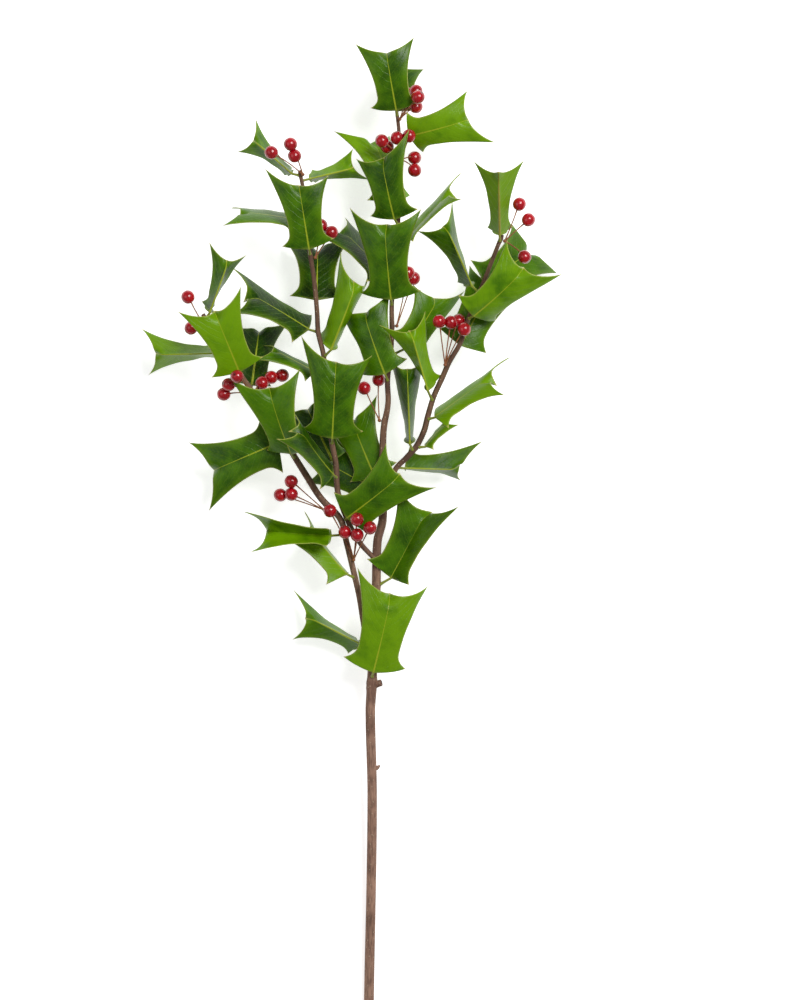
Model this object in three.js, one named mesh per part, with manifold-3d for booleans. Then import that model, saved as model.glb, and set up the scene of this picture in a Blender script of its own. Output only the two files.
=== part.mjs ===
// Holly spray, lying on its back: a woody main stem with three side stems, spiny leaves
// on short petioles, and bunches of red berries on thin stalks.
//
// Units are millimetres and degrees. +Y runs up the main stem to the leafy end, +X is to
// the right of the stem and +Z is up. The spray lies at z = 0 on the rim of its cut end
// and the tips of its lowest leaves, and the origin is the middle of its box's bottom.
import * as THREE from "three";
import { mergeVertices } from "three/addons/utils/BufferGeometryUtils.js";
import Module from "manifold-3d";

// Driving dimensions.
const SEAT_GAP = 0.45; // clearance between a petiole or a stalk and the bark that carries it
const STEM_SIDES = 9;
const KNOB_SIDES = 8;

const LEAF_THICKNESS = 1.0;
const LEAF_ROWS = [0, 0.05, 0.1, 0.2, 0.36, 0.55, 0.74, 0.89, 1]; // shares of the length
const LEAF_COLUMNS = [-1, -0.5, 0, 0.5, 1]; // shares of the half width, left to right
const PETIOLE_RADIUS = 0.9;
const EAR = 0.41; // half width at the lower pair of spines, as a share of the length
const EAR_AT = 0.09;
const WAIST = 0.26; // half width between the two pairs of spines
const HORN = 0.5; // half width at the upper pair of spines
const HORN_SWEEP = 0.23; // how far the upper spines reach past the middle of the end
const END_SPINE = 0.2; // length of the spine in the middle of the end, turned down
const STEEPEST = 80; // the most that a half stands up or hangs down, in degrees

const BERRY_RADIUS = 4.9;
const STALK_RADIUS = 0.7;
const STALK_SIDES = 4;
const STALK_STEPS = 2;
const HUB_RADIUS = 1.6; // the knot where a bunch's stalks meet

// The cut twig's stub and the side bud: stem, height, side, reach from the middle of the
// stem, lean toward the tip, and the radii at the stem and at the end.
const KNOBS = [
  ["main_stem", 219.5, 12, 8.2, 0.35, 2.6, 2.2],
  ["main_stem", 160.5, 5, 6.2, 0.6, 1.7, 0.6],
];

// Centre lines of the wood: [x, y, z, radius] from the cut or forked end to the tip.
const STEMS = {
  main_stem: [
    [-1, -10, 3.8, 3.7],
    [1.4, 140, 15, 3.5],
    [0.2, 201, 20, 3.5],
    [1.2, 219, 21.5, 3.6],
    [1.6, 232, 22.5, 3.4],
    [4.2, 290, 27, 3.2],
    [5.2, 321, 29.5, 3.1],
    [8.8, 336, 31, 3],
    [9.2, 371, 34, 2.8],
    [9.4, 398, 36, 2.4],
    [12.6, 418, 37.5, 2.1],
    [12.2, 434, 39, 2],
    [15, 461, 41, 1.9],
    [15.4, 491, 43, 1.8],
    [19.4, 532, 46, 1.7],
    [20.3, 585, 49, 1.5],
    [20.2, 607, 50, 1.4],
    [18.6, 622, 51, 1.3],
  ],
  branch_left: [
    [-3.4, 254, 24.5, 1.9],
    [-5.4, 268, 26, 2.1],
    [-8, 284, 28, 2.1],
    [-12.6, 304, 30, 2.1],
    [-16.4, 320, 32, 2.1],
    [-21, 337, 34, 2.2],
    [-34.3, 351, 35, 2.3],
    [-43.4, 365, 36, 2.3],
    [-49.7, 375, 37, 2.2],
    [-60.2, 392, 38, 2.1],
    [-80.5, 423, 41, 1.9],
    [-92.4, 440, 42, 1.8],
    [-108.5, 465, 44, 1.6],
    [-116.9, 480, 45, 1.4],
  ],
  branch_middle: [
    [4, 308, 29, 1.8],
    [-6.3, 319, 31, 1.9],
    [-14, 332, 33, 2],
    [-22.4, 355, 36, 2.1],
    [-23.8, 374, 38, 2.1],
    [-27.3, 394, 40, 2],
    [-31.5, 434, 43, 1.9],
    [-32.5, 451, 44.5, 1.9],
    [-36.2, 467, 46, 1.9],
    [-37.1, 482, 47, 1.8],
    [-39.2, 505, 49, 1.8],
    [-42.2, 524, 50, 1.7],
    [-45.5, 560, 53, 1.5],
    [-49, 580, 54, 1.4],
  ],
  branch_right: [
    [14.2, 352, 33, 1.8],
    [17.5, 371, 36, 1.9],
    [25.8, 380, 38, 2],
    [32, 387, 40, 2.1],
    [37.7, 398, 41.5, 2.1],
    [40.6, 409, 43, 2.1],
    [44.5, 422, 44, 2],
    [50.8, 436, 46, 2],
    [55.2, 446, 47, 1.9],
    [63.3, 460, 49, 1.8],
    [68.6, 476, 50, 1.8],
    [78.2, 499, 52, 1.6],
    [92.3, 535, 55, 1.4],
  ],
};

// The pieces of wood, and the stems that fork from each without a seam.
const WOOD = {
  main_stem: ["branch_middle"],
  branch_left: [],
  branch_right: [],
};

// Leaves: name, the stem that carries it, the height y of its petiole, the petiole's side
// of the stem (0 right, 90 up, 180 left), petiole length, heading (from +X toward +Y),
// pitch, roll (tips the upper face to the leaf's right), blade length, fold of the halves
// about the midrib (positive is a valley), curl of the margins, bend of the midrib, twist,
// skew of the two upper spines, and the green.
const LEAVES = [
  ["leaf_top", "main_stem", 619, 90, 5, 100, 18, -3, 44, 8, 40, 45, 0, -3, "deep"],
  ["leaf_top_back", "main_stem", 619, 270, 5, 85, -28, 0, 36, 0, 45, 20, 0, 0, "shaded"],
  ["leaf_top_right", "main_stem", 604, -20, 5, 14, 12, 20, 44, 8, 50, 20, -30, 9, "fresh"],
  ["leaf_crown", "main_stem", 543, 110, 5, 102, 14, -18, 45, 8, 45, 20, 0, 19, "deep"],
  ["leaf_crown_back", "main_stem", 555, 240, 5, 108, -12, 38, 49, 5, 45, 20, 0, -10, "fresh"],
  ["leaf_edge_on", "main_stem", 531, -10, 5, 47, 12, -72, 44, 15, 40, 0, 0, -10, "fresh"],
  ["leaf_band", "main_stem", 503, 250, 5, 134, -14, 56, 50, 3, 28, 5, 0, 0, "shaded"],
  ["leaf_middle", "main_stem", 487, 90, 5, 95, 15, -12, 54, 8, 40, 20, 0, -3, "deep"],
  ["leaf_inner_right", "main_stem", 452, 0, 9, 57, -5, 26, 43, 5, 45, 20, 0, 26, "deep"],
  ["leaf_inner_left", "main_stem", 434, 90, 6, 109, 0, -16, 47, 5, 65, 20, 0, 0, "deep"],
  ["leaf_shadow", "main_stem", 354, 280, 5, 152, -14, -10, 46, 5, 40, 20, 0, 0, "shaded"],
  ["leaf_sliver", "main_stem", 362, 230, 5, 112, -4, -12, 46, 5, 35, 20, 0, 0, "deep"],
  ["leaf_folded", "main_stem", 291, 10, 8, 62, 10, -22, 54, 28, 0, 0, -6, 12, "deep"],
  ["leaf_low_front", "main_stem", 226, 90, 5, 77, 12, 8, 58, 8, 55, 20, 0, -3, "fresh"],
  ["leaf_low_left", "main_stem", 247, 180, 5, 153, 3, 15, 43, -60, -10, 3, 0, 20, "deep"],
  ["leaf_twisted", "branch_left", 296, 120, 5, 130, -8, 56, 42, -20, 20, -10, 0, 14, "fresh"],
  ["leaf_left_low", "branch_left", 326, 130, 8, 176, 0, -4, 47, 48, -35, 10, 0, 8, "fresh"],
  ["leaf_left_wide", "branch_left", 392, 250, 5, 203, -5, 0, 52, 6, 30, 20, 0, -7, "deep"],
  ["leaf_left_front", "branch_left", 380, 105, 5, 109, 15, -25, 50, 12, 25, 20, 45, -6, "deep"],
  ["leaf_left_dark", "branch_left", 427, 270, 5, 83, -21, 0, 46, -30, 20, 20, 0, 12, "shaded"],
  ["leaf_left_upper", "branch_left", 437, 90, 5, 112, 24, 0, 48, 8, 20, 20, 0, 0, "fresh"],
  ["leaf_far_left", "branch_left", 454, 230, 4, 181, -5, -9, 46, -64, -10, 10, 0, 5, "fresh"],
  ["leaf_left_tip", "branch_left", 477, 60, 5, 70, 5, 16, 39, -70, -20, 10, 0, 0, "deep"],
  ["leaf_fork", "branch_middle", 337, 130, 5, 38, 18, 10, 50, 8, 40, 20, 0, 7, "deep"],
  ["leaf_rolled_low", "branch_middle", 366, 100, 5, 126, 30, 62, 46, 5, 60, -10, 0, 0, "shaded"],
  ["leaf_rolled_dark", "branch_middle", 374, 260, 5, 116, -12, 0, 44, -30, 20, 10, 0, 0, "shaded"],
  ["leaf_centre", "branch_middle", 390, 90, 5, 87, 14, 0, 55, 8, 50, 20, 0, -12, "deep"],
  ["leaf_small_left", "branch_middle", 438, 220, 5, 152, 0, 65, 34, 5, 60, 0, 0, 0, "deep"],
  ["leaf_light", "branch_middle", 451, 50, 6, 69, 10, 18, 51, -40, 60, 10, 0, -14, "fresh"],
  ["leaf_rolled_left", "branch_middle", 468, 220, 5, 149, -2, 53, 50, 2, 25, 5, 0, 24, "shaded"],
  ["leaf_behind", "branch_middle", 487, 270, 5, 89, -33, 0, 48, 5, 35, 20, 0, 8, "shaded"],
  ["leaf_left_side", "branch_middle", 545, 240, 5, 172, -3, 65, 42, 3, 30, 5, 4, 0, "deep"],
  ["leaf_upper_front", "branch_middle", 522, 90, 5, 99, 14, 0, 46, 8, 40, 20, 0, -15, "deep"],
  ["leaf_bridge", "branch_middle", 573, 290, 5, 14, 0, 10, 33, -60, -8, 10, 0, 12, "fresh"],
  ["leaf_upper_tip", "branch_middle", 577, 180, 4, 139, -2, 0, 37, -66, -10, 10, 0, 10, "fresh"],
  ["leaf_right_low", "branch_right", 373, 300, 5, -1, -5, 33, 40, -45, 0, 2, 0, -18, "deep"],
  ["leaf_right_small", "branch_right", 388, 20, 4, 50, 0, -65, 22, 5, 60, 0, 0, 0, "fresh"],
  ["leaf_right_narrow", "branch_right", 385, 120, 5, 92, 8, 0, 53, -60, 30, 10, 0, 0, "deep"],
  ["leaf_right_rolled", "branch_right", 407, 60, 5, 36, 5, -64, 48, 5, 45, 0, 0, -20, "fresh"],
  ["leaf_right_centre", "branch_right", 420, 100, 10, 106, 14, -8, 44, -62, -20, 10, 32, 0, "fresh"],
  ["leaf_right_back", "branch_right", 455, 280, 5, 62, -12, 0, 50, 5, 60, 20, 0, 0, "deep"],
  ["leaf_right_front", "branch_right", 477, 80, 5, 42, 18, 25, 50, 8, 60, 20, -30, 10, "fresh"],
  ["leaf_right_side", "branch_right", 495, 150, 5, 114, 6, 12, 47, -66, -6, 10, 0, 12, "deep"],
  ["leaf_right_under", "branch_right", 499, 270, 5, 37, -33, 0, 51, 5, 45, 20, 0, 8, "deep"],
  ["leaf_right_tip", "branch_right", 531, 90, 5, 91, 5, 178, 44, 52, 5, -10, 0, 0, "fresh"],
];

// Bunches: the stem, the height and side of the knot of stalks, and the berries' centres.
const BUNCHES = {
  berries_top: ["main_stem", 616, 60, [
    [26.6, 634, 46],
    [32.2, 635.5, 53],
    [33.6, 630.5, 66.5],
    [32.2, 625, 48],
  ]],
  berries_crown: ["main_stem", 588, 60, [
    [8.4, 600.5, 59],
    [12, 597, 50.5],
    [19, 602.5, 59],
    [27.3, 604, 58],
    [31.2, 580.5, 50],
    [31.2, 589.5, 46],
  ]],
  berries_middle: ["main_stem", 472, 20, [
    [30.5, 505.5, 36],
    [26.6, 509, 44],
  ]],
  berries_inner: ["main_stem", 405, 200, [
    [6, 434.5, 33],
    [-4.2, 428.5, 35],
  ]],
  berries_fork: ["branch_left", 308, 60, [
    [-28, 342.5, 46],
    [-17.5, 327.5, 46],
    [-9, 336.5, 54],
    [0, 330.5, 52],
    [-9, 325.5, 49],
  ]],
  berries_left_low: ["branch_left", 346, 170, [
    [-55.3, 363, 38],
    [-63, 353.5, 32],
    [-55.3, 354, 36],
  ]],
  berries_left: ["branch_left", 425, 100, [
    [-92.4, 436, 67],
    [-98.7, 430.5, 56],
    [-102.2, 424, 50],
    [-75.6, 432, 43],
    [-69.3, 436, 37],
    [-61.6, 437.5, 33],
  ]],
  berries_far_left: ["branch_left", 478, 180, [
    [-127.4, 492, 47],
    [-125.3, 470.5, 43],
  ]],
  berries_left_upper: ["branch_middle", 519, 20, [
    [-27, 537, 50],
    [-34.3, 542, 46],
  ]],
  berries_upper_tip: ["branch_middle", 577, 60, [
    [-55.3, 598, 62],
    [-68.6, 592, 66],
    [-52.5, 590, 60],
  ]],
  berries_right: ["branch_right", 444, 120, [
    [48.3, 474.5, 58],
    [56.7, 474, 55],
    [62, 475.5, 47],
    [65.8, 469, 59],
  ]],
  berries_far_right: ["branch_right", 532, 0, [
    [104.3, 556.5, 56],
    [110.6, 545.5, 58],
    [107.8, 519.5, 61],
  ]],
};

const BARK = { color: 0x7d6450, roughness: 0.85, metalness: 0 };
const BERRY_RED = { color: 0xa8152a, roughness: 0.25, metalness: 0 };
const LEAF_GREENS = {
  fresh: { color: 0x5c8a1c, roughness: 0.38, metalness: 0 },
  deep: { color: 0x3a6312, roughness: 0.36, metalness: 0 },
  shaded: { color: 0x2b4a1c, roughness: 0.42, metalness: 0 },
};

const radians = THREE.MathUtils.degToRad;
const clamp = THREE.MathUtils.clamp;

const wasm = await Module();
wasm.setup();

// The centre line of a side or main stem: a smooth curve through its rows, read at height y.
// Returns the point, the direction and the radius there.
function stemAt(rows, y) {
  const last = rows.length - 1;
  let i = 0;
  while (i < last - 1 && y > rows[i + 1][1]) i += 1;
  const low = rows[i];
  const high = rows[i + 1];
  const span = high[1] - low[1];
  const f = clamp((y - low[1]) / span, 0, 1);
  const slope = (k, axis) => {
    const before = rows[Math.max(0, k - 1)];
    const after = rows[Math.min(last, k + 1)];
    return (after[axis] - before[axis]) / (after[1] - before[1]);
  };
  const value = (axis) => {
    const rise0 = slope(i, axis) * span;
    const rise1 = slope(i + 1, axis) * span;
    const start = (2 * f ** 3 - 3 * f ** 2 + 1) * low[axis] + (f ** 3 - 2 * f ** 2 + f) * rise0;
    const end = (3 * f ** 2 - 2 * f ** 3) * high[axis] + (f ** 3 - f ** 2) * rise1;
    return start + end;
  };
  const gradient = (axis) => {
    const rise0 = slope(i, axis) * span;
    const rise1 = slope(i + 1, axis) * span;
    const between = (6 * f - 6 * f * f) * (high[axis] - low[axis]);
    return (between + (3 * f * f - 4 * f + 1) * rise0 + (3 * f * f - 2 * f) * rise1) / span;
  };
  return {
    point: new THREE.Vector3(value(0), low[1] + f * span, value(2)),
    direction: new THREE.Vector3(gradient(0), 1, gradient(2)).normalize(),
    radius: low[3] + (high[3] - low[3]) * f,
  };
}

// The direction square to the stem at an angle around it: 0 is right, 90 is up.
function outward(direction, side) {
  const out = new THREE.Vector3(Math.cos(radians(side)), 0, Math.sin(radians(side)));
  return out.addScaledVector(direction, -out.dot(direction)).normalize();
}

// A closed solid through loops of points that all have the same count. The end faces are
// the given triangles of the first and the last loop. From the given point of a loop on,
// the quads are split along their other diagonal, so that both faces of a leaf match.
function loft(loops, capTriangles, mirrorFrom = Infinity) {
  const count = loops[0].length;
  const positions = loops.flat().flatMap((p) => p.toArray());
  const index = [];
  for (let i = 0; i < loops.length - 1; i += 1) {
    for (let j = 0; j < count; j += 1) {
      const a = i * count + j;
      const b = i * count + ((j + 1) % count);
      if (j < mirrorFrom) index.push(a, b, b + count, a, b + count, a + count);
      else index.push(a, b, a + count, b, b + count, a + count);
    }
  }
  const end = (loops.length - 1) * count;
  for (const [a, b, c] of capTriangles) {
    index.push(a, c, b);
    index.push(end + a, end + b, end + c);
  }
  const geometry = new THREE.BufferGeometry();
  geometry.setAttribute("position", new THREE.Float32BufferAttribute(positions, 3));
  geometry.setIndex(index);
  return geometry;
}

// A woody stem: round sections of changing radius, square to the stem's curve.
function stemGeometry(rows) {
  const loops = [];
  for (const [, y] of rows) {
    const { point, direction, radius } = stemAt(rows, y);
    const loop = [];
    for (let j = 0; j < STEM_SIDES; j += 1) {
      const out = outward(direction, (-360 * j) / STEM_SIDES);
      loop.push(point.clone().addScaledVector(out, radius));
    }
    loops.push(loop);
  }
  const fan = [];
  for (let j = 1; j < STEM_SIDES - 1; j += 1) fan.push([0, j, j + 1]);
  return loft(loops, fan);
}

// Half width of a blade, as a share of its length, at the share v of its length: a narrow
// foot, the lower pair of spines, a waist, and the widening toward the upper pair.
function halfWidth(v) {
  if (v < EAR_AT) return 0.02 + (EAR - 0.02) * (v / EAR_AT) ** 0.85;
  const ear = clamp(1 - (v - EAR_AT) / 0.22, 0, 1) ** 2.6;
  const horn = clamp((v - 0.35) / 0.65, 0, 1) ** 2.2;
  return WAIST + (EAR - WAIST) * ear + (HORN - WAIST) * horn;
}

// A point of the blade's middle surface and the normal there, in the leaf's own frame:
// X to the right, Y from foot to end, Z out of the upper face. u runs from -1 at the left
// margin to 1 at the right margin, v from 0 at the foot to 1 at the end.
function bladePoint(leaf, u, v) {
  const side = Math.sign(u);
  const across = Math.abs(u) * halfWidth(v) * leaf.size;
  const atEnd = clamp((v - 0.8) / 0.2, 0, 1) ** 2;
  const spine = END_SPINE * clamp(1 - Math.abs(u) / 0.25, 0, 1) ** 1.5 * atEnd;
  const sweep = HORN_SWEEP * clamp((v - 0.3) / 0.7, 0, 1) ** 2;
  const lean = Math.tan(radians(leaf.skew)) * side * across * v ** 2;
  const along = leaf.size * (0.99 * v + sweep * u * u + 0.05 * spine) + lean;

  // Each half is an arc across the leaf: it leaves the midrib at the fold angle and curls
  // down toward the margin.
  const relaxed = 0.5 + 0.5 * clamp(v / 0.05, 0, 1);
  const fold = radians(clamp(leaf.fold * (1.25 - 0.5 * v), -STEEPEST, STEEPEST) * relaxed);
  const curl = radians(leaf.curl || 0.01) / (0.5 * leaf.size);
  const angle = fold - curl * across;
  const right = (side * (Math.sin(fold) - Math.sin(angle))) / curl;
  const up = (Math.cos(angle) - Math.cos(fold)) / curl - 0.9 * spine * leaf.size;

  // The midrib is an arc too, and the blade turns about it from foot to end.
  const bend = radians(leaf.bend || 0.01) / leaf.size;
  const half = (bend * leaf.size) / 2;
  const turned = bend * along - half;
  const spun = radians(leaf.twist) * (along / leaf.size - 0.5);
  const arcNormal = new THREE.Vector3(0, Math.sin(turned), Math.cos(turned));
  const acrossArc = new THREE.Vector3(1, 0, 0);
  const n = arcNormal.clone().multiplyScalar(Math.cos(spun));
  n.addScaledVector(acrossArc, Math.sin(spun));
  const s = acrossArc.clone().multiplyScalar(Math.cos(spun));
  s.addScaledVector(arcNormal, -Math.sin(spun));
  const rise = (Math.cos(turned) - Math.cos(half)) / bend;
  const point = new THREE.Vector3(0, (Math.sin(turned) + Math.sin(half)) / bend, rise);
  point.addScaledVector(s, right).addScaledVector(n, up);
  // Along the crease the faces stand further apart, so that the halves keep their thickness.
  if (u === 0) return { point, normal: n.multiplyScalar(Math.min(2, 1 / Math.cos(fold))) };
  const normal = n.clone().multiplyScalar(Math.cos(angle));
  normal.addScaledVector(s, -side * Math.sin(angle));
  return { point, normal };
}

// A ring of points: the upper face from left to right, then the lower face back again.
function ring(upper, lower) {
  return [...upper, ...lower.slice(1, -1).reverse()];
}

// The leaf as one solid in its own frame, with its petiole from the given root point.
function leafGeometry(leaf, root) {
  const loops = [];
  const toBlade = root.clone().negate().normalize();
  const up = new THREE.Vector3(0, 0, 1).addScaledVector(toBlade, -toBlade.z).normalize();
  const right = toBlade.clone().cross(up);
  for (const share of [0, 0.5]) {
    const centre = root.clone().multiplyScalar(1 - share);
    const point = (u, face) =>
      centre
        .clone()
        .addScaledVector(right, PETIOLE_RADIUS * Math.sin((u * Math.PI) / 2))
        .addScaledVector(up, face * PETIOLE_RADIUS * Math.cos((u * Math.PI) / 2));
    const upper = LEAF_COLUMNS.map((u) => point(u, 1));
    const lower = LEAF_COLUMNS.map((u) => point(u, -1));
    loops.push(ring(upper, lower));
  }
  for (const v of LEAF_ROWS) {
    const upper = [];
    const lower = [];
    for (const u of LEAF_COLUMNS) {
      const { point, normal } = bladePoint(leaf, u, v);
      const half = 0.5 * LEAF_THICKNESS * Math.sqrt(1 - u * u) * (1 - 0.25 * v);
      upper.push(point.clone().addScaledVector(normal, half));
      lower.push(point.clone().addScaledVector(normal, -half));
    }
    loops.push(ring(upper, lower));
  }
  const columns = LEAF_COLUMNS.length;
  return loft(loops, stripCap(columns), columns - 1);
}

// Triangles that close a ring of upper and lower points, strip by strip across it.
function stripCap(columns) {
  const last = columns - 1;
  const count = 2 * columns - 2;
  const below = (j) => (j === 0 || j === last ? j : count - j);
  const triangles = [];
  for (let j = 0; j < last; j += 1) {
    if (below(j) !== j) triangles.push([j, j + 1, below(j)]);
    if (below(j + 1) !== j + 1) triangles.push([j + 1, below(j + 1), below(j)]);
  }
  return triangles;
}

// The rotation whose axes are a leaf's right, forward and upper directions. Heading turns
// about +Z from +X, pitch raises the end, and roll turns the upper face to the right.
function leafRotation(leaf) {
  const heading = radians(leaf.heading);
  const pitch = radians(leaf.pitch);
  const roll = radians(leaf.roll);
  const flat = new THREE.Vector3(Math.cos(heading), Math.sin(heading), 0);
  const up = new THREE.Vector3(0, 0, 1);
  const forward = flat.clone().multiplyScalar(Math.cos(pitch)).addScaledVector(up, Math.sin(pitch));
  const level = up.clone().multiplyScalar(Math.cos(pitch)).addScaledVector(flat, -Math.sin(pitch));
  const across = forward.clone().cross(level);
  const face = level.clone().multiplyScalar(Math.cos(roll)).addScaledVector(across, Math.sin(roll));
  const right = forward.clone().cross(face);
  return new THREE.Matrix4().makeBasis(right, forward, face);
}

function makeLeaf(row) {
  const [name, stem, height, side, petiole, heading, pitch, roll, ...shape] = row;
  const [size, fold, curl, bend, twist, skew, green] = shape;
  const leaf = { heading, pitch, roll, size, fold, curl, bend, twist, skew };
  const { point, direction, radius } = stemAt(STEMS[stem], height);
  const out = outward(direction, side);
  const rotation = leafRotation(leaf);
  const forward = new THREE.Vector3().setFromMatrixColumn(rotation, 1);
  const slant = out.clone().multiplyScalar(0.6).addScaledVector(forward, 0.8).normalize();
  const edge = PETIOLE_RADIUS * Math.sqrt(1 - slant.dot(out) ** 2);
  const root = point.addScaledVector(out, radius + SEAT_GAP + edge);
  const foot = root.clone().addScaledVector(slant, petiole);
  const localRoot = root.clone().sub(foot).applyMatrix4(rotation.clone().transpose());
  const material = new THREE.MeshStandardMaterial(LEAF_GREENS[green]);
  const mesh = new THREE.Mesh(leafGeometry(leaf, localRoot), material);
  mesh.name = name;
  mesh.position.copy(foot);
  mesh.quaternion.setFromRotationMatrix(rotation);
  return mesh;
}


function toSolid(geometry) {
  const bare = new THREE.BufferGeometry();
  const source = geometry.index ? geometry.toNonIndexed() : geometry;
  bare.setAttribute("position", source.getAttribute("position"));
  const merged = mergeVertices(bare, 1e-3);
  const mesh = new wasm.Mesh({
    numProp: 3,
    vertProperties: merged.attributes.position.array,
    triVerts: new Uint32Array(merged.index.array),
  });
  return new wasm.Manifold(mesh);
}

function fromSolid(solid) {
  const { vertProperties, triVerts } = solid.getMesh();
  const geometry = new THREE.BufferGeometry();
  geometry.setAttribute("position", new THREE.BufferAttribute(vertProperties, 3));
  geometry.setIndex(new THREE.BufferAttribute(triVerts, 1));
  return geometry;
}

// A short stub or bud that stands out of the stem and leans toward its tip.
function knobGeometry([stem, height, side, reach, lean, wide, narrow]) {
  const { point, direction } = stemAt(STEMS[stem], height);
  const out = outward(direction, side).addScaledVector(direction, lean).normalize();
  const upright = new THREE.Vector3(0, 1, 0);
  const geometry = new THREE.CylinderGeometry(narrow, wide, reach, KNOB_SIDES);
  geometry.translate(0, reach / 2, 0);
  geometry.applyQuaternion(new THREE.Quaternion().setFromUnitVectors(upright, out));
  return geometry.translate(point.x, point.y, point.z);
}

// One piece of wood: a stem, and the side stems and knobs that grow from it without a seam.
function makeWood(name) {
  let wood = toSolid(stemGeometry(STEMS[name]));
  for (const fork of WOOD[name]) wood = wood.add(toSolid(stemGeometry(STEMS[fork])));
  for (const knob of KNOBS) {
    if (knob[0] === name) wood = wood.add(toSolid(knobGeometry(knob)));
  }
  const mesh = new THREE.Mesh(fromSolid(wood), new THREE.MeshStandardMaterial(BARK));
  mesh.name = name;
  return mesh;
}

function ball(radius, detail, centre) {
  const geometry = new THREE.IcosahedronGeometry(radius, detail);
  return geometry.translate(centre.x, centre.y, centre.z);
}

function stalkGeometry(hub, berry, out) {
  const middle = hub.clone().add(berry).multiplyScalar(0.5).add(out).add(new THREE.Vector3(0, 1.5, 0));
  const outline = new THREE.Shape();
  for (let j = 0; j < STALK_SIDES; j += 1) {
    const turn = (2 * Math.PI * j) / STALK_SIDES;
    const x = STALK_RADIUS * Math.cos(turn);
    const y = STALK_RADIUS * Math.sin(turn);
    if (j === 0) outline.moveTo(x, y);
    else outline.lineTo(x, y);
  }
  return new THREE.ExtrudeGeometry(outline, {
    steps: STALK_STEPS,
    extrudePath: new THREE.QuadraticBezierCurve3(hub, middle, berry),
  });
}

// A bunch: round berries, each at the end of a thin curved stalk, joined at one small knot
// beside the stem.
function makeBunch(name) {
  const [stem, height, side, berries] = BUNCHES[name];
  const { point, direction, radius } = stemAt(STEMS[stem], height);
  const out = outward(direction, side);
  const hub = point.addScaledVector(out, radius + SEAT_GAP + HUB_RADIUS);
  let bunch = toSolid(ball(HUB_RADIUS, 0, hub));
  for (const [x, y, z] of berries) {
    const centre = new THREE.Vector3(x, y, z);
    bunch = bunch.add(toSolid(ball(BERRY_RADIUS, 1, centre)));
    bunch = bunch.add(toSolid(stalkGeometry(hub, centre, out)));
  }
  const mesh = new THREE.Mesh(fromSolid(bunch), new THREE.MeshStandardMaterial(BERRY_RED));
  mesh.name = name;
  return mesh;
}

const group = new THREE.Group();
for (const name of Object.keys(WOOD)) group.add(makeWood(name));
for (const row of LEAVES) group.add(makeLeaf(row));
for (const name of Object.keys(BUNCHES)) group.add(makeBunch(name));

const box = new THREE.Box3().setFromObject(group, true);
group.position.set(-(box.min.x + box.max.x) / 2, -(box.min.y + box.max.y) / 2, -box.min.z);

export default group;
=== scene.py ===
"""Holly sprig lying on a pale surface, seen from straight above.

The pieces are built from the same named values as the solid model, in its frame: metres,
+Y along the main stem, +Z up. Every leaf, bunch of berries and piece of wood is its own object.
"""

import math
import random

import bpy
import numpy as np
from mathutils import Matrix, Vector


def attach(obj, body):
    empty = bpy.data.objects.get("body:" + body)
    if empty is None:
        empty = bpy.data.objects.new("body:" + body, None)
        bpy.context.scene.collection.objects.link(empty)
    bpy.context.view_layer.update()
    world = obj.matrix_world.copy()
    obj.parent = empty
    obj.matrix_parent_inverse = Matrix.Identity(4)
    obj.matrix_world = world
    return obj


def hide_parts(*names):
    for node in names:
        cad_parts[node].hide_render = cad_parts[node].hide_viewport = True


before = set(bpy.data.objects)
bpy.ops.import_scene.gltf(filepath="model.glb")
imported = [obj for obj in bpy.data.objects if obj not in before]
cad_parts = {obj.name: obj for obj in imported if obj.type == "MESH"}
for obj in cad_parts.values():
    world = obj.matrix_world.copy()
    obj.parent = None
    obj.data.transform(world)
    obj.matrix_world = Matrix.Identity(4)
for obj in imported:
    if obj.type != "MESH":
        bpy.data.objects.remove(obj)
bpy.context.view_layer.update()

# All sizes below are in millimetres and degrees, as in the solid model.
MM = 0.001
ORIGIN = (-13.4, 331.2, 0.0)  # the model's origin, in the sprig's own working frame
SEAT_GAP = 0.45  # from the bark to the root of a petiole or the knot of a bunch

LEAF_THICKNESS = 0.8
PETIOLE_RADIUS = 0.85
PETIOLE_RINGS = 7
NECK_HALF = 0.8  # half the blade's thickness where it meets the petiole
EDGE_ROUNDING = 0.4  # how far in from the margin the blade thins
UPPER_RIB = 0.12  # how far the midrib stands out of each face
LOWER_RIB = 0.4
WAVE_HEIGHT = 0.35  # of the margins' waves, over their number of waves along the leaf
WAVE_TURNS = (1.2, 2.1, 3.4)
EAR = 0.41  # half width at the lower pair of spines, as a share of the length
EAR_AT = 0.09
WAIST = 0.26
HORN = 0.5
HORN_SWEEP = 0.23
BLADE_LENGTH = 0.99  # of the midrib without its end spine, as a share of the size
END_SPINE = 0.2
SPINE_REACH = 3.2  # how far the pale colour of a spine's tip reaches
STEEPEST = 80  # the most that a half of a leaf stands up or hangs down, in degrees

BERRY_RADIUS = 4.75
STALK_RADIUS = 0.42
HUB_RADIUS = 1.3
POLE_DIMPLE = 0.28  # depth of the hollow at a berry's flower end
BERRY_ROWS = 30
HUB_ROWS = 14
STALK_RINGS = 12
STALK_SIDES = 10

COLLAR_AT = 219.5  # height of the ring where a side twig was once cut off
BUD_AT = 160.5
STEM_STEP = 1.5  # between the rings of a stem
MAIN_STEM_SIDES = 48
SIDE_STEM_SIDES = 32
STEM_LENGTH = 640.0  # over which the bark's colour changes
BARK_INSET = 0.1  # leaves room for the grain inside the solid model's radius

VIEW_MIDDLE = (21.0, 350.0)  # what the camera looks at, in the working frame
VIEW_LEVEL = 45.0
VIEW_HEIGHT = 700.0  # of the sprig's surroundings, at that level, seen in the frame

LENS = 200.0
SENSOR = 36.0

KEY_POWER = 43.0
FILL_POWER = 6.0
SKY = 0.25
FLOOR_GLOW = 0.62

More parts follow.
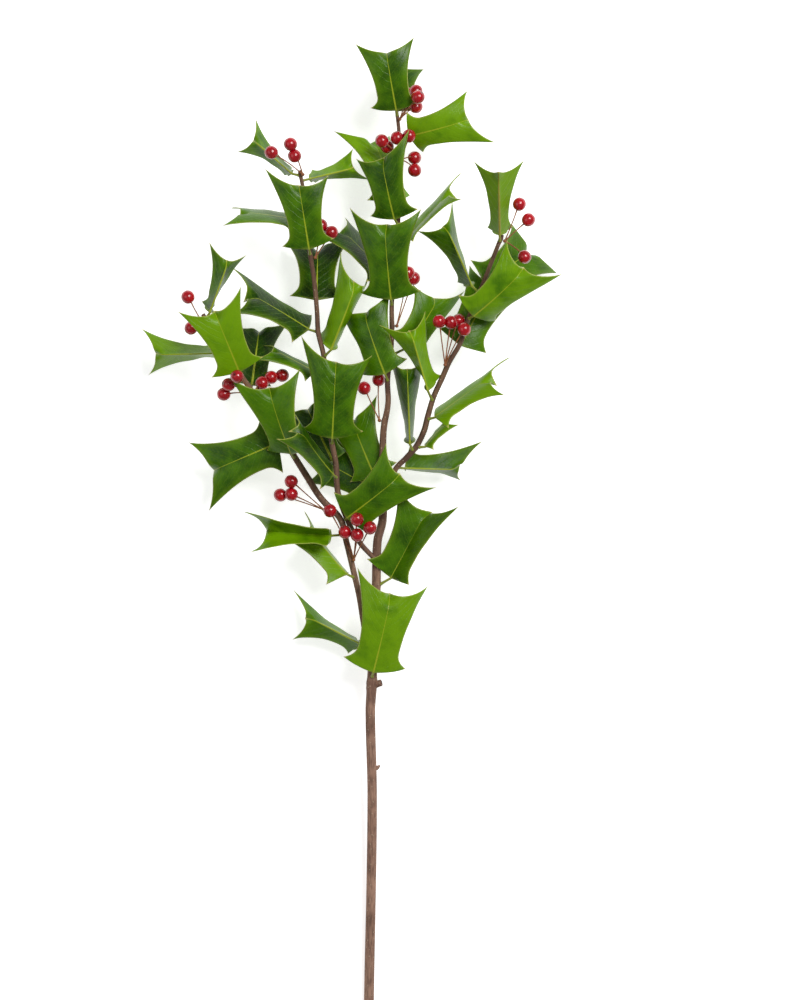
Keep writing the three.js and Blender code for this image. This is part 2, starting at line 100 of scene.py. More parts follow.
# Material slots of the wood, of a leaf and of a bunch.
BARK, CUT_WOOD, HOLLOW = 0, 1, 2
UPPER_FACE, LOWER_FACE = 0, 1
BERRY_SKIN, BERRY_STALK = 0, 1

# The stems that make up each piece of wood.
WOOD = {
    "main_stem": ["main_stem", "branch_middle"],
    "branch_left": ["branch_left"],
    "branch_right": ["branch_right"],
}

# Each row of a stem: x, y and z of its centre line, and its radius.
BRANCHES = {
    "main_stem": [
        [-1.0, -10, 3.8, 3.7],
        [1.4, 140, 15, 3.5],
        [0.2, 201, 20, 3.5],
        [1.2, 219, 21.5, 3.6],
        [1.6, 232, 22.5, 3.4],
        [4.2, 290, 27, 3.2],
        [5.2, 321, 29.5, 3.1],
        [8.8, 336, 31, 3.0],
        [9.2, 371, 34, 2.8],
        [9.4, 398, 36, 2.4],
        [12.6, 418, 37.5, 2.1],
        [12.2, 434, 39, 2.0],
        [15, 461, 41, 1.9],
        [15.4, 491, 43, 1.8],
        [19.4, 532, 46, 1.7],
        [20.3, 585, 49, 1.5],
        [20.2, 607, 50, 1.4],
        [18.6, 622, 51, 1.3]],
    "branch_left": [
        [-3.4, 254, 24.5, 1.9],
        [-5.4, 268, 26, 2.1],
        [-8, 284, 28, 2.1],
        [-12.6, 304, 30, 2.1],
        [-16.4, 320, 32, 2.1],
        [-21, 337, 34, 2.2],
        [-34.3, 351, 35, 2.3],
        [-43.4, 365, 36, 2.3],
        [-49.7, 375, 37, 2.2],
        [-60.2, 392, 38, 2.1],
        [-80.5, 423, 41, 1.9],
        [-92.4, 440, 42, 1.8],
        [-108.5, 465, 44, 1.6],
        [-116.9, 480, 45, 1.4]],
    "branch_middle": [
        [4, 308, 29, 1.8],
        [-6.3, 319, 31, 1.9],
        [-14, 332, 33, 2.0],
        [-22.4, 355, 36, 2.1],
        [-23.8, 374, 38, 2.1],
        [-27.3, 394, 40, 2.0],
        [-31.5, 434, 43, 1.9],
        [-32.5, 451, 44.5, 1.9],
        [-36.2, 467, 46, 1.9],
        [-37.1, 482, 47, 1.8],
        [-39.2, 505, 49, 1.8],
        [-42.2, 524, 50, 1.7],
        [-45.5, 560, 53, 1.5],
        [-49, 580, 54, 1.4]],
    "branch_right": [
        [14.2, 352, 33, 1.8],
        [17.5, 371, 36, 1.9],
        [25.8, 380, 38, 2.0],
        [32, 387, 40, 2.1],
        [37.7, 398, 41.5, 2.1],
        [40.6, 409, 43, 2.1],
        [44.5, 422, 44, 2.0],
        [50.8, 436, 46, 2.0],
        [55.2, 446, 47, 1.9],
        [63.3, 460, 49, 1.8],
        [68.6, 476, 50, 1.8],
        [78.2, 499, 52, 1.6],
        [92.3, 535, 55, 1.4]],
}

# Each leaf: name, stem, height on the stem, side it leaves the stem from (0 right, 90 up),
# petiole length, heading, pitch, roll, blade size, fold of the halves, curl of the margins,
# bend along the midrib, twist, lean of the upper spines, and its green.
LEAVES = [
    ["leaf_top", "main_stem", 619, 90, 5, 100, 18, -3, 44, 8, 40, 45, 0, -3, "deep"],
    ["leaf_top_back", "main_stem", 619, 270, 5, 85, -28, 0, 36, 0, 45, 20, 0, 0, "shaded"],
    ["leaf_top_right", "main_stem", 604, -20, 5, 14, 12, 20, 44, 8, 50, 20, -30, 9, "fresh"],
    ["leaf_crown", "main_stem", 543, 110, 5, 102, 14, -18, 45, 8, 45, 20, 0, 19, "deep"],
    ["leaf_crown_back", "main_stem", 555, 240, 5, 108, -12, 38, 49, 5, 45, 20, 0, -10, "fresh"],
    ["leaf_edge_on", "main_stem", 531, -10, 5, 47, 12, -72, 44, 15, 40, 0, 0, -10, "fresh"],
    ["leaf_band", "main_stem", 503, 250, 5, 134, -14, 56, 50, 3, 28, 5, 0, 0, "shaded"],
    ["leaf_middle", "main_stem", 487, 90, 5, 95, 15, -12, 54, 8, 40, 20, 0, -3, "deep"],
    ["leaf_inner_right", "main_stem", 452, 0, 9, 57, -5, 26, 43, 5, 45, 20, 0, 26, "deep"],
    ["leaf_inner_left", "main_stem", 434, 90, 6, 109, 0, -16, 47, 5, 65, 20, 0, 0, "deep"],
    ["leaf_shadow", "main_stem", 354, 280, 5, 152, -14, -10, 46, 5, 40, 20, 0, 0, "shaded"],
    ["leaf_sliver", "main_stem", 362, 230, 5, 112, -4, -12, 46, 5, 35, 20, 0, 0, "deep"],
    ["leaf_folded", "main_stem", 291, 10, 8, 62, 10, -22, 54, 28, 0, 0, -6, 12, "deep"],
    ["leaf_low_front", "main_stem", 226, 90, 5, 77, 12, 8, 58, 8, 55, 20, 0, -3, "fresh"],
    ["leaf_low_left", "main_stem", 247, 180, 5, 153, 3, 15, 43, -60, -10, 3, 0, 20, "deep"],
    ["leaf_twisted", "branch_left", 296, 120, 5, 130, -8, 56, 42, -20, 20, -10, 0, 14, "fresh"],
    ["leaf_left_low", "branch_left", 326, 130, 8, 176, 0, -4, 47, 48, -35, 10, 0, 8, "fresh"],
    ["leaf_left_wide", "branch_left", 392, 250, 5, 203, -5, 0, 52, 6, 30, 20, 0, -7, "deep"],
    ["leaf_left_front", "branch_left", 380, 105, 5, 109, 15, -25, 50, 12, 25, 20, 45, -6, "deep"],
    ["leaf_left_dark", "branch_left", 427, 270, 5, 83, -21, 0, 46, -30, 20, 20, 0, 12, "shaded"],
    ["leaf_left_upper", "branch_left", 437, 90, 5, 112, 24, 0, 48, 8, 20, 20, 0, 0, "fresh"],
    ["leaf_far_left", "branch_left", 454, 230, 4, 181, -5, -9, 46, -64, -10, 10, 0, 5, "fresh"],
    ["leaf_left_tip", "branch_left", 477, 60, 5, 70, 5, 16, 39, -70, -20, 10, 0, 0, "deep"],
    ["leaf_fork", "branch_middle", 337, 130, 5, 38, 18, 10, 50, 8, 40, 20, 0, 7, "deep"],
    ["leaf_rolled_low", "branch_middle", 366, 100, 5, 126, 30, 62, 46, 5, 60, -10, 0, 0, "shaded"],
    ["leaf_rolled_dark", "branch_middle", 374, 260, 5, 116, -12, 0, 44, -30, 20, 10, 0, 0, "shaded"],
    ["leaf_centre", "branch_middle", 390, 90, 5, 87, 14, 0, 55, 8, 50, 20, 0, -12, "deep"],
    ["leaf_small_left", "branch_middle", 438, 220, 5, 152, 0, 65, 34, 5, 60, 0, 0, 0, "deep"],
    ["leaf_light", "branch_middle", 451, 50, 6, 69, 10, 18, 51, -40, 60, 10, 0, -14, "fresh"],
    ["leaf_rolled_left", "branch_middle", 468, 220, 5, 149, -2, 53, 50, 2, 25, 5, 0, 24, "shaded"],
    ["leaf_behind", "branch_middle", 487, 270, 5, 89, -33, 0, 48, 5, 35, 20, 0, 8, "shaded"],
    ["leaf_left_side", "branch_middle", 545, 240, 5, 172, -3, 65, 42, 3, 30, 5, 4, 0, "deep"],
    ["leaf_upper_front", "branch_middle", 522, 90, 5, 99, 14, 0, 46, 8, 40, 20, 0, -15, "deep"],
    ["leaf_bridge", "branch_middle", 573, 290, 5, 14, 0, 10, 33, -60, -8, 10, 0, 12, "fresh"],
    ["leaf_upper_tip", "branch_middle", 577, 180, 4, 139, -2, 0, 37, -66, -10, 10, 0, 10, "fresh"],
    ["leaf_right_low", "branch_right", 373, 300, 5, -1, -5, 33, 40, -45, 0, 2, 0, -18, "deep"],
    ["leaf_right_small", "branch_right", 388, 20, 4, 50, 0, -65, 22, 5, 60, 0, 0, 0, "fresh"],
    ["leaf_right_narrow", "branch_right", 385, 120, 5, 92, 8, 0, 53, -60, 30, 10, 0, 0, "deep"],
    ["leaf_right_rolled", "branch_right", 407, 60, 5, 36, 5, -64, 48, 5, 45, 0, 0, -20, "fresh"],
    ["leaf_right_centre", "branch_right", 420, 100, 10, 106, 14, -8, 44, -62, -20, 10, 32, 0, "fresh"],
    ["leaf_right_back", "branch_right", 455, 280, 5, 62, -12, 0, 50, 5, 60, 20, 0, 0, "deep"],
    ["leaf_right_front", "branch_right", 477, 80, 5, 42, 18, 25, 50, 8, 60, 20, -30, 10, "fresh"],
    ["leaf_right_side", "branch_right", 495, 150, 5, 114, 6, 12, 47, -66, -6, 10, 0, 12, "deep"],
    ["leaf_right_under", "branch_right", 499, 270, 5, 37, -33, 0, 51, 5, 45, 20, 0, 8, "deep"],
    ["leaf_right_tip", "branch_right", 531, 90, 5, 91, 5, 178, 44, 52, 5, -10, 0, 0, "fresh"],
]

# Each bunch: stem, height on the stem, side it leaves from, and the berries' centres.
BERRIES = {
    "berries_top": ["main_stem", 616, 60, [
        [26.6, 634, 46],
        [32.2, 635.5, 53],
        [33.6, 630.5, 66.5],
        [32.2, 625, 48],
    ]],
    "berries_crown": ["main_stem", 588, 60, [
        [8.4, 600.5, 59],
        [12, 597, 50.5],
        [19, 602.5, 59],
        [27.3, 604, 58],
        [31.2, 580.5, 50],
        [31.2, 589.5, 46],
    ]],
    "berries_middle": ["main_stem", 472, 20, [
        [30.5, 505.5, 36],
        [26.6, 509, 44],
    ]],
    "berries_inner": ["main_stem", 405, 200, [
        [6, 434.5, 33],
        [-4.2, 428.5, 35],
    ]],
    "berries_fork": ["branch_left", 308, 60, [
        [-28, 342.5, 46],
        [-17.5, 327.5, 46],
        [-9, 336.5, 54],
        [0, 330.5, 52],
        [-9, 325.5, 49],
    ]],
    "berries_left_low": ["branch_left", 346, 170, [
        [-55.3, 363, 38],
        [-63, 353.5, 32],
        [-55.3, 354, 36],
    ]],
    "berries_left": ["branch_left", 425, 100, [
        [-92.4, 436, 67],
        [-98.7, 430.5, 56],
        [-102.2, 424, 50],
        [-75.6, 432, 43],
        [-69.3, 436, 37],
        [-61.6, 437.5, 33],
    ]],
    "berries_far_left": ["branch_left", 478, 180, [
        [-127.4, 492, 47],
        [-125.3, 470.5, 43],
    ]],
    "berries_left_upper": ["branch_middle", 519, 20, [
        [-27, 537, 50],
        [-34.3, 542, 46],
    ]],
    "berries_upper_tip": ["branch_middle", 577, 60, [
        [-55.3, 598, 62],
        [-68.6, 592, 66],
        [-52.5, 590, 60],
    ]],
    "berries_right": ["branch_right", 444, 120, [
        [48.3, 474.5, 58],
        [56.7, 474, 55],
        [62, 475.5, 47],
        [65.8, 469, 59],
    ]],
    "berries_far_right": ["branch_right", 532, 0, [
        [104.3, 556.5, 56],
        [110.6, 545.5, 58],
        [107.8, 519.5, 61],
    ]],
}


def unit(v):
    """A vector of length 1."""
    v = np.asarray(v, float)
    return v / np.linalg.norm(v)


def stem_at(rows, y):
    """The point, direction and radius of a stem's smooth centre line at height y."""
    last = len(rows) - 1
    i = 0
    while i < last - 1 and y > rows[i + 1][1]:
        i += 1
    low, high = rows[i], rows[i + 1]
    span = high[1] - low[1]
    f = min(1.0, max(0.0, (y - low[1]) / span))

    def slope(k, axis):
        before, after = rows[max(0, k - 1)], rows[min(last, k + 1)]
        return (after[axis] - before[axis]) / (after[1] - before[1])

    place, gradient = [], []
    for axis in (0, 2):
        rise0, rise1 = slope(i, axis) * span, slope(i + 1, axis) * span
        start = (2 * f**3 - 3 * f**2 + 1) * low[axis] + (f**3 - 2 * f**2 + f) * rise0
        end = (3 * f**2 - 2 * f**3) * high[axis] + (f**3 - f**2) * rise1
        place.append(start + end)
        between = (6 * f - 6 * f * f) * (high[axis] - low[axis])
        turn = (3 * f * f - 4 * f + 1) * rise0 + (3 * f * f - 2 * f) * rise1
        gradient.append((between + turn) / span)
    point = np.array([place[0], low[1] + f * span, place[1]])
    radius = low[3] + (high[3] - low[3]) * f
    return point, unit([gradient[0], 1.0, gradient[1]]), radius


def outward(direction, side):
    """The direction square to a stem at an angle around it: 0 is right, 90 is up."""
    a = math.radians(side)
    out = np.array([math.cos(a), 0.0, math.sin(a)])
    return unit(out - direction * (direction @ out))


def half_width(v):
    """Half the blade's width, as a share of its length, at shares v of its length."""
    foot = 0.02 + (EAR - 0.02) * np.clip(v / EAR_AT, 0, 1) ** 0.85
    ear = np.clip(1 - (v - EAR_AT) / 0.22, 0, 1) ** 2.6
    horn = np.clip((v - 0.35) / 0.65, 0, 1) ** 2.2
    return np.where(v < EAR_AT, foot, WAIST + (EAR - WAIST) * ear + (HORN - WAIST) * horn)


def blade(leaf, u, v):
    """Points and normals of the blade's middle surface in the leaf's own frame.

    X is to the right, Y from foot to end, Z out of the upper face. u runs from -1 at the
    left margin to 1 at the right margin, and v from 0 at the foot to 1 at the end.
    """
    size = leaf["size"]
    side = np.sign(u)
    across = np.abs(u) * half_width(v) * size
    at_end = np.clip((v - 0.8) / 0.2, 0, 1) ** 2
    spine = END_SPINE * np.clip(1 - np.abs(u) / 0.25, 0, 1) ** 1.5 * at_end
    sweep = HORN_SWEEP * np.clip((v - 0.3) / 0.7, 0, 1) ** 2
    lean = math.tan(math.radians(leaf["skew"])) * side * across * v**2
    along = size * (BLADE_LENGTH * v + sweep * u * u + 0.05 * spine) + lean

    relaxed = 0.5 + 0.5 * np.clip(v / 0.05, 0, 1)
    fold = np.radians(np.clip(leaf["fold"] * (1.25 - 0.5 * v), -STEEPEST, STEEPEST) * relaxed)
    curl = math.radians(leaf["curl"] or 0.01) / (0.5 * size)
    angle = fold - curl * across
    right = side * (np.sin(fold) - np.sin(angle)) / curl
    up = (np.cos(angle) - np.cos(fold)) / curl - 0.9 * spine * size

    bend = math.radians(leaf["bend"] or 0.01) / size
    half = bend * size / 2
    turned = bend * along - half
    spun = math.radians(leaf["twist"]) * (along / size - 0.5)
    zero = np.zeros_like(turned)
    arc_normal = np.stack([zero, np.sin(turned), np.cos(turned)], -1)
    across_arc = np.stack([zero + 1, zero, zero], -1)
    cos_spun, sin_spun = np.cos(spun)[..., None], np.sin(spun)[..., None]
    n = arc_normal * cos_spun + across_arc * sin_spun
    s = across_arc * cos_spun - arc_normal * sin_spun
    forward = (np.sin(turned) + math.sin(half)) / bend
    rise = (np.cos(turned) - math.cos(half)) / bend
    point = np.stack([zero, forward, rise], -1) + s * right[..., None] + n * up[..., None]
    normal = n * np.cos(angle)[..., None] - s * (side * np.sin(angle))[..., None]
    # Along the crease the faces stand further apart, so that the halves keep their thickness.
    crease = np.minimum(2.0, 1 / np.cos(fold))
    normal = np.where((u == 0)[..., None], n * crease[..., None], normal)
    return point, normal, across


def leaf_axes(leaf):
    """The leaf's right, forward and upper directions as the rows of a matrix."""
    h, p, r = (math.radians(leaf[k]) for k in ("heading", "pitch", "roll"))
    forward = np.array([math.cos(h) * math.cos(p), math.sin(h) * math.cos(p), math.sin(p)])
    level = np.array([-math.cos(h) * math.sin(p), -math.sin(h) * math.sin(p), math.cos(p)])
    across = np.cross(forward, level)
    face = level * math.cos(r) + across * math.sin(r)
    return np.stack([np.cross(forward, face), forward, face])


class Builder:
    """Collects vertices, faces, their materials and per-vertex values for one object."""

    def __init__(self):
        self.points = []
        self.faces = []
        self.slots = []
        self.values = {}
        self.count = 0

    def add(self, points, faces, slot, **values):
        """Adds a mesh; slot is one number or one for each face, and values are per vertex."""
        points = np.asarray(points, float).reshape(-1, 3)
        self.points.append(points)
        self.faces.append(np.asarray(faces, int) + self.count)
        self.slots.append(np.full(len(faces), 0) + slot)
        for key in set(self.values) | set(values):
            known = self.values.setdefault(key, [np.zeros(self.count)])
            known.append(np.broadcast_to(values.get(key, 0.0), len(points)).astype(float))
        self.count += len(points)

    def object(self, name, materials, extra_faces=()):
        """The object in metres; the extra faces take the first material."""
        points = np.concatenate(self.points)
        points = (points - np.array(ORIGIN)) * MM
        faces = [f for block in self.faces for f in block.tolist()] + list(extra_faces)
        slots = np.concatenate([*self.slots, np.zeros(len(extra_faces))])
        mesh = bpy.data.meshes.new(name)
        mesh.from_pydata(points.tolist(), [], faces)
        mesh.polygons.foreach_set("material_index", slots.astype(np.int32))
        mesh.polygons.foreach_set("use_smooth", np.ones(len(faces), bool))
        for key, blocks in self.values.items():
            layer = mesh.attributes.new(key, "FLOAT", "POINT")
            layer.data.foreach_set("value", np.concatenate(blocks).astype(np.float32))
        for material in materials:
            mesh.materials.append(material)
        mesh.update()
        made = bpy.data.objects.new(name, mesh)
        bpy.context.scene.collection.objects.link(made)
        return made


def grid_faces(rows, columns, wrap=False, flip=False):
    """Quads of a grid of points given row by row; flip turns them to face the other way."""
    across = columns if wrap else columns - 1
    i, j = np.meshgrid(np.arange(rows - 1), np.arange(across), indexing="ij")
    a = i * columns + j
    b = i * columns + (j + 1) % columns
    quads = np.stack([a, b, b + columns, a + columns], -1).reshape(-1, 4)
    return quads[:, ::-1] if flip else quads


def tube(points, radii, sides):
    """Rings of points round a path, each turned as little as possible from the last."""
    points = np.asarray(points, float)
    tangents = np.gradient(points, axis=0)
    rings = []
    side = None
    for point, tangent, radius in zip(points, tangents, radii):
        t = unit(tangent)
        if side is None:
            side = np.array([0.0, 0.0, 1.0]) if abs(t[2]) < 0.9 else np.array([1.0, 0.0, 0.0])
        side = unit(side - t * (side @ t))
        other = np.cross(t, side)
        angles = np.arange(sides) * 2 * math.pi / sides
        circle = np.cos(angles)[:, None] * side + np.sin(angles)[:, None] * other
        rings.append(point + np.reshape(radius, (-1, 1)) * circle)
    return np.array(rings)


def stem_ring(rows, y, sides, bumps, grain):
    """One ring of a stem at height y, with its ridges, swellings and bumps."""
    point, direction, radius = stem_at(rows, y)
    right = outward(direction, 0)
    up = np.cross(right, direction)
    angles = np.arange(sides) * 2 * math.pi / sides
    r = np.full(sides, radius - BARK_INSET)
    for turns, pitch, phase, size in grain:
        r += size * np.sin(turns * angles + y * pitch + phase)
    for at, side, length, width, height in bumps:
        apart = np.angle(np.exp(1j * (angles - math.radians(side))))
        r += height * math.exp(-(((y - at) / length) ** 2)) * np.exp(-((apart / width) ** 2))
    circle = np.cos(angles)[:, None] * right + np.sin(angles)[:, None] * up
    return point + r[:, None] * circle


def stem_bumps(name):
    """Swellings as rows of height, side, length, width in radians and rise of each."""
    bumps = [(row[2], row[3], 1.6, 0.7, 0.4) for row in LEAVES if row[1] == name]
    bumps += [(at, side, 1.8, 0.8, 0.45) for stem, at, side, _ in BERRIES.values() if stem == name]
    if name == "main_stem":
        bumps += [(COLLAR_AT + 2, side, 2.2, 1.2, 0.55) for side in (20, 140, 260)]
        bumps += [(COLLAR_AT - 2, 200, 2.0, 0.9, 0.5)]
    return bumps


def add_stem(made, name):
    """Adds a stem's bark, a flat cut at its foot and a blunt tip."""
    rows = BRANCHES[name]
    sides = MAIN_STEM_SIDES if name == "main_stem" else SIDE_STEM_SIDES
    source = random.Random(name)
    grain = [
        (turns, source.uniform(-0.05, 0.05), source.uniform(0, 6), 0.05 if turns > 4 else 0.07)
        for turns in (2, 3, 5, 7, 11)
    ]
    bumps = stem_bumps(name)
    low, high = rows[0][1], rows[-1][1]
    heights = np.linspace(low, high, int((high - low) / STEM_STEP) + 2)
    points = np.array([stem_ring(rows, y, sides, bumps, grain) for y in heights])
    y_share = np.repeat((heights - BRANCHES["main_stem"][0][1]) / STEM_LENGTH, sides)
    bark = grid_faces(len(heights), sides, wrap=True, flip=True)
    made.add(points, bark, BARK, height=y_share)
    for end, is_tip in ((0, False), (-1, True)):
        middle = points[end].mean(0)
        away = points[end] - middle
        share = np.array([1.0, 0.93, 0.5, 0.02])
        lift = np.array([0.0, 0.25, 0.3, 0.3]) * (1 if is_tip else -1)
        tangent = stem_at(rows, heights[end])[1]
        cap = middle + away * share[:, None, None] + (tangent * lift[:, None])[:, None, :]
        faces = grid_faces(len(share), sides, wrap=True, flip=is_tip)
        slot = CUT_WOOD if name == "main_stem" and not is_tip else BARK
        made.add(cap, faces, slot, height=y_share[0])


def side_rings(path, radii, out, direction, sides, rough=0.0):
    """Rings round the short straight path of a stub or a bud that leaves a stem."""
    side = unit(np.cross(out, direction))
    up = np.cross(side, out)
    angles = np.arange(sides) * 2 * math.pi / sides
    circle = np.cos(angles)[:, None] * side + np.sin(angles)[:, None] * up
    uneven = 1 + rough * (0.06 * np.sin(3 * angles + 1) + 0.04 * np.sin(7 * angles))
    return path[:, None, :] + radii[:, None, None] * uneven[None, :, None] * circle


def add_twig_stub(made):
    """The stub of a twig cut off at the collar: a short tube with a dark hollow end."""
    sides, rim = 24, 5
    point, direction, radius = stem_at(BRANCHES["main_stem"], COLLAR_AT)
    out = unit(outward(direction, 12) + 0.35 * direction)
    along = np.array([0.0, 2.0, 4.0, 5.6, 6.3, 6.5, 6.2, 4.6])
    radii = np.array([2.7, 2.5, 2.3, 2.35, 2.2, 1.8, 1.3, 0.9])
    path = point + out * (radius * 0.5) + out * along[:, None] * 0.85
    rings = side_rings(path, radii, out, direction, sides, rough=1.0)
    wall, well = rings[:rim + 1], rings[rim:]
    made.add(wall, grid_faces(len(wall), sides, wrap=True, flip=True), BARK, height=0.35)
    made.add(well, grid_faces(len(well), sides, wrap=True, flip=True), HOLLOW, height=0.35)


def add_bud(made):
    """A small pointed side bud low on the stem."""
    sides = 16
    point, direction, radius = stem_at(BRANCHES["main_stem"], BUD_AT)
    right = outward(direction, 5)
    out = unit(right + 0.8 * direction)
    along = np.array([0.0, 1.2, 2.4, 3.4, 4.0])
    radii = np.array([1.5, 1.5, 1.1, 0.6, 0.05])
    path = point + right * (radius - 0.6) + out * along[:, None]
    rings = side_rings(path, radii, out, direction, sides)
    made.add(rings, grid_faces(len(rings), sides, wrap=True, flip=True), BARK, height=0.25)


# Shares of a blade's length and of its half width at which its points lie.
LEAF_ROWS = np.concatenate([
    np.linspace(0, 0.12, 13),
    np.linspace(0.15, 0.84, 22),
    np.linspace(0.86, 1, 12),
])
LEAF_COLUMNS = np.array([0.02, 0.05, 0.1, 0.18, 0.28, 0.4, 0.52, 0.64, 0.76, 0.86, 0.94, 1.0])
LEAF_COLUMNS = np.concatenate([-LEAF_COLUMNS[::-1], [0.0], LEAF_COLUMNS])


def leaf_row(row):
    """A row of LEAVES as a dictionary."""
    keys = ("name", "stem", "height", "side", "petiole", "heading", "pitch", "roll",
            "size", "fold", "curl", "bend", "twist", "skew", "green")
    return dict(zip(keys, row))


def margin_wave(u, v, source):
    """How far each point of the blade is lifted by the waves along its margins."""
    wave = np.zeros_like(u)
    for turns in WAVE_TURNS:
        phase, tilt = source.uniform(0, 6), source.uniform(-1.5, 1.5)
        bend = np.sin(2 * math.pi * turns * v + tilt * np.sign(u) + phase)
        wave += bend * WAVE_HEIGHT / turns
    return wave * (np.abs(u) ** 1.5 * np.clip(v / 0.15, 0, 1))


def near_spines(leaf, local):
    """1 at the tip of each of the blade's five spines, falling to 0 around them."""
    near = np.zeros(local.shape[:-1])
    for tip_u, tip_v in ((-1.0, EAR_AT), (1.0, EAR_AT), (-1.0, 1.0), (1.0, 1.0), (0.0, 1.0)):
        apex = blade(leaf, np.array([tip_u]), np.array([tip_v]))[0][0]
        away = np.linalg.norm(local - apex, axis=-1)
        near = np.maximum(near, np.exp(-((away / SPINE_REACH) ** 2)))
    return near


def blade_skin(leaf, source):
    """The blade's upper and lower points in the leaf's frame, and its material's values."""
    v, u = np.meshgrid(LEAF_ROWS, LEAF_COLUMNS, indexing="ij")
    local, normal, across = blade(leaf, u, v)
    size = leaf["size"]
    to_end = (1 - v) * size * BLADE_LENGTH
    to_side = (half_width(v) * size - across) * 0.8
    edge = np.minimum(to_side, to_end)
    round_off = np.sqrt(1 - (1 - np.clip(edge / EDGE_ROUNDING, 0, 1)) ** 2)
    half = 0.5 * LEAF_THICKNESS * (0.12 + 0.88 * round_off) * (np.abs(u) < 1)
    neck = np.clip(1 - v / 0.08, 0, 1) ** 1.5
    half = half + neck * (NECK_HALF - half) * np.sqrt(1 - u * u)
    wave = margin_wave(u, v, source)
    rib = np.exp(-((across / 0.7) ** 2)) * np.clip(1.1 - v, 0, 1) ** 0.5 * (1 - neck)
    upper = local + normal * (half + wave + UPPER_RIB * rib)[..., None]
    lower = local - normal * (half - wave + LOWER_RIB * rib)[..., None]
    values = {
        "rib": np.sign(u) * across,
        "along": v * size,
        "edge": edge,
        "tip": near_spines(leaf, local),
    }
    return upper, lower, values


def petiole_skin(leaf, start, foot, slant, face):
    """The petiole's upper and lower points, ring by ring, and its material's values."""
    up = unit(face - slant * (slant @ face))
    right = np.cross(slant, up)
    turn = LEAF_COLUMNS * math.pi / 2
    share = np.linspace(0, 0.94, PETIOLE_RINGS)[:, None]
    wide = PETIOLE_RADIUS * (1 + 0.5 * (1 - share) ** 4)
    middle = (start + (foot - start) * share)[:, None, :]
    sway = (wide * np.sin(turn))[..., None] * right
    rise = (wide * np.cos(turn))[..., None] * up
    shape = (PETIOLE_RINGS, len(LEAF_COLUMNS))
    values = {
        "rib": wide * np.sin(turn),
        "along": np.broadcast_to((share - 1) * leaf["petiole"], shape),
        "edge": np.full(shape, 0.6),
        "tip": np.zeros(shape),
    }
    return middle + sway + rise, middle + sway - rise, values


def around(over, under):
    """Rows of upper and lower points as closed rings; the margins' points are shared."""
    return np.concatenate([over, under[:, 1:-1][:, ::-1]], axis=1)


def end_cap(columns, last, count):
    """Faces that close the end of the blade; last is its last ring's first point."""
    cap = []
    for j in range(columns - 1):
        over, under = last + j, last + count - j
        face = [over, over + 1, under - 1, under]
        if j == 0:
            face = face[:3]
        elif j == columns - 2:
            face = [over, over + 1, under]
        cap.append(face)
    return cap


def make_leaf(row):
    """One leaf, a thin curved blade with its petiole, and the faces that close its end."""
    leaf = leaf_row(row)
    point, direction, radius = stem_at(BRANCHES[leaf["stem"]], leaf["height"])
    out = outward(direction, leaf["side"])
    axes = leaf_axes(leaf)
    slant = unit(0.6 * out + 0.8 * axes[1])
    lift = SEAT_GAP + 0.9 * math.sqrt(max(0.0, 1 - float(slant @ out) ** 2))
    foot = point + out * (radius + lift) + slant * leaf["petiole"]
    source = random.Random(leaf["name"])

    upper, lower, blade_values = blade_skin(leaf, source)
    # The petiole's root is sunk a little into the bark.
    start = point + out * (radius - 0.2)
    stalk_upper, stalk_lower, stalk_values = petiole_skin(leaf, start, foot, slant, axes[2])
    over = np.concatenate([stalk_upper, upper @ axes + foot])
    under = np.concatenate([stalk_lower, lower @ axes + foot])
    points = around(over, under)
    values = {"tone": source.random()}
    for key in blade_values:
        both = np.concatenate([stalk_values[key], blade_values[key]])
        values[key] = around(both, both).ravel()

    rings, count = points.shape[:2]
    columns = len(LEAF_COLUMNS)
    is_upper = np.tile(np.arange(count) < columns - 1, rings - 1)
    made = Builder()
    slots = np.where(is_upper, UPPER_FACE, LOWER_FACE)
    made.add(points, grid_faces(rings, count, wrap=True), slots, **values)
    return made, end_cap(columns, (rings - 1) * count, count)


def make_bunch(name):
    """Round berries, each on its own thin stalk, joined at one knot beside the stem."""
    stem, height, side, berries = BERRIES[name]
    point, direction, radius = stem_at(BRANCHES[stem], height)
    out = outward(direction, side)
    hub = point + out * (radius + SEAT_GAP + 1.4)
    made = Builder()
    add_ball(made, hub, out, HUB_RADIUS, BERRY_STALK, HUB_ROWS, 0.0)
    source = random.Random(name)
    for berry in berries:
        centre = np.array(berry, float)
        middle = (hub + centre) / 2 + out + np.array([0, 1.5, 0])
        axis = unit(centre - middle + np.array([source.uniform(-1, 1) for _ in range(3)]))
        share = np.linspace(0, 1, STALK_RINGS)[:, None]
        end = centre - axis * BERRY_RADIUS * 0.9
        path = (1 - share) ** 2 * hub + 2 * share * (1 - share) * middle + share**2 * end
        radii = STALK_RADIUS * (1 + 0.5 * share[:, 0] ** 6 + 0.4 * (1 - share[:, 0]) ** 6)
        rings = tube(path, radii, STALK_SIDES)
        faces = grid_faces(STALK_RINGS, STALK_SIDES, wrap=True)
        made.add(rings, faces, BERRY_STALK, pole=0, tone=source.random())
        add_ball(made, centre, axis, BERRY_RADIUS, BERRY_SKIN, BERRY_ROWS, POLE_DIMPLE)
    return made


